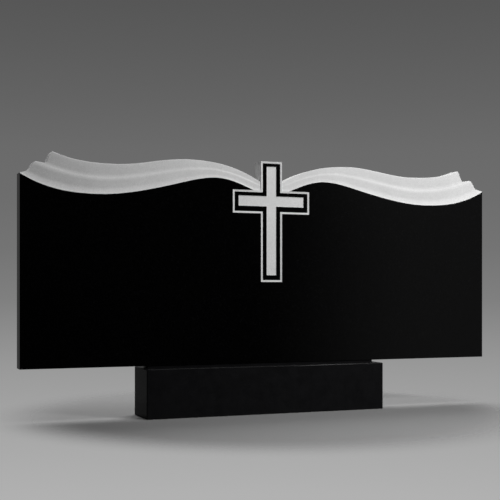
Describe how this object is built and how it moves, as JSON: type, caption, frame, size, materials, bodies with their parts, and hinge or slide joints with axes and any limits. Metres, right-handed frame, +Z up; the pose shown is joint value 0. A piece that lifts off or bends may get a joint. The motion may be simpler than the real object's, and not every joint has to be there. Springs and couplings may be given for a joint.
{
  "type": "granite grave tablet",
  "caption": "Wide upright polished granite grave tablet in the outline of an open book, with a Latin cross over the spine, standing on a low granite base block.",
  "frame": {"origin": "on the ground, at the middle of the bounding box, which is under the middle of the tablet", "axes": "+Z up, +X along the tablet's width to the right as seen from the front, the polished face towards -Y"},
  "size_m": [1.5, 0.134, 0.7556],
  "materials": {
    "polished_granite_tablet": "polished black granite, the carved pages and the cross ground light grey",
    "polished_granite_base": "polished black granite"
  },
  "bodies": {
    "root": {"tablet": "polished_granite_tablet", "base": "polished_granite_base"}
  },
  "joints": []
}
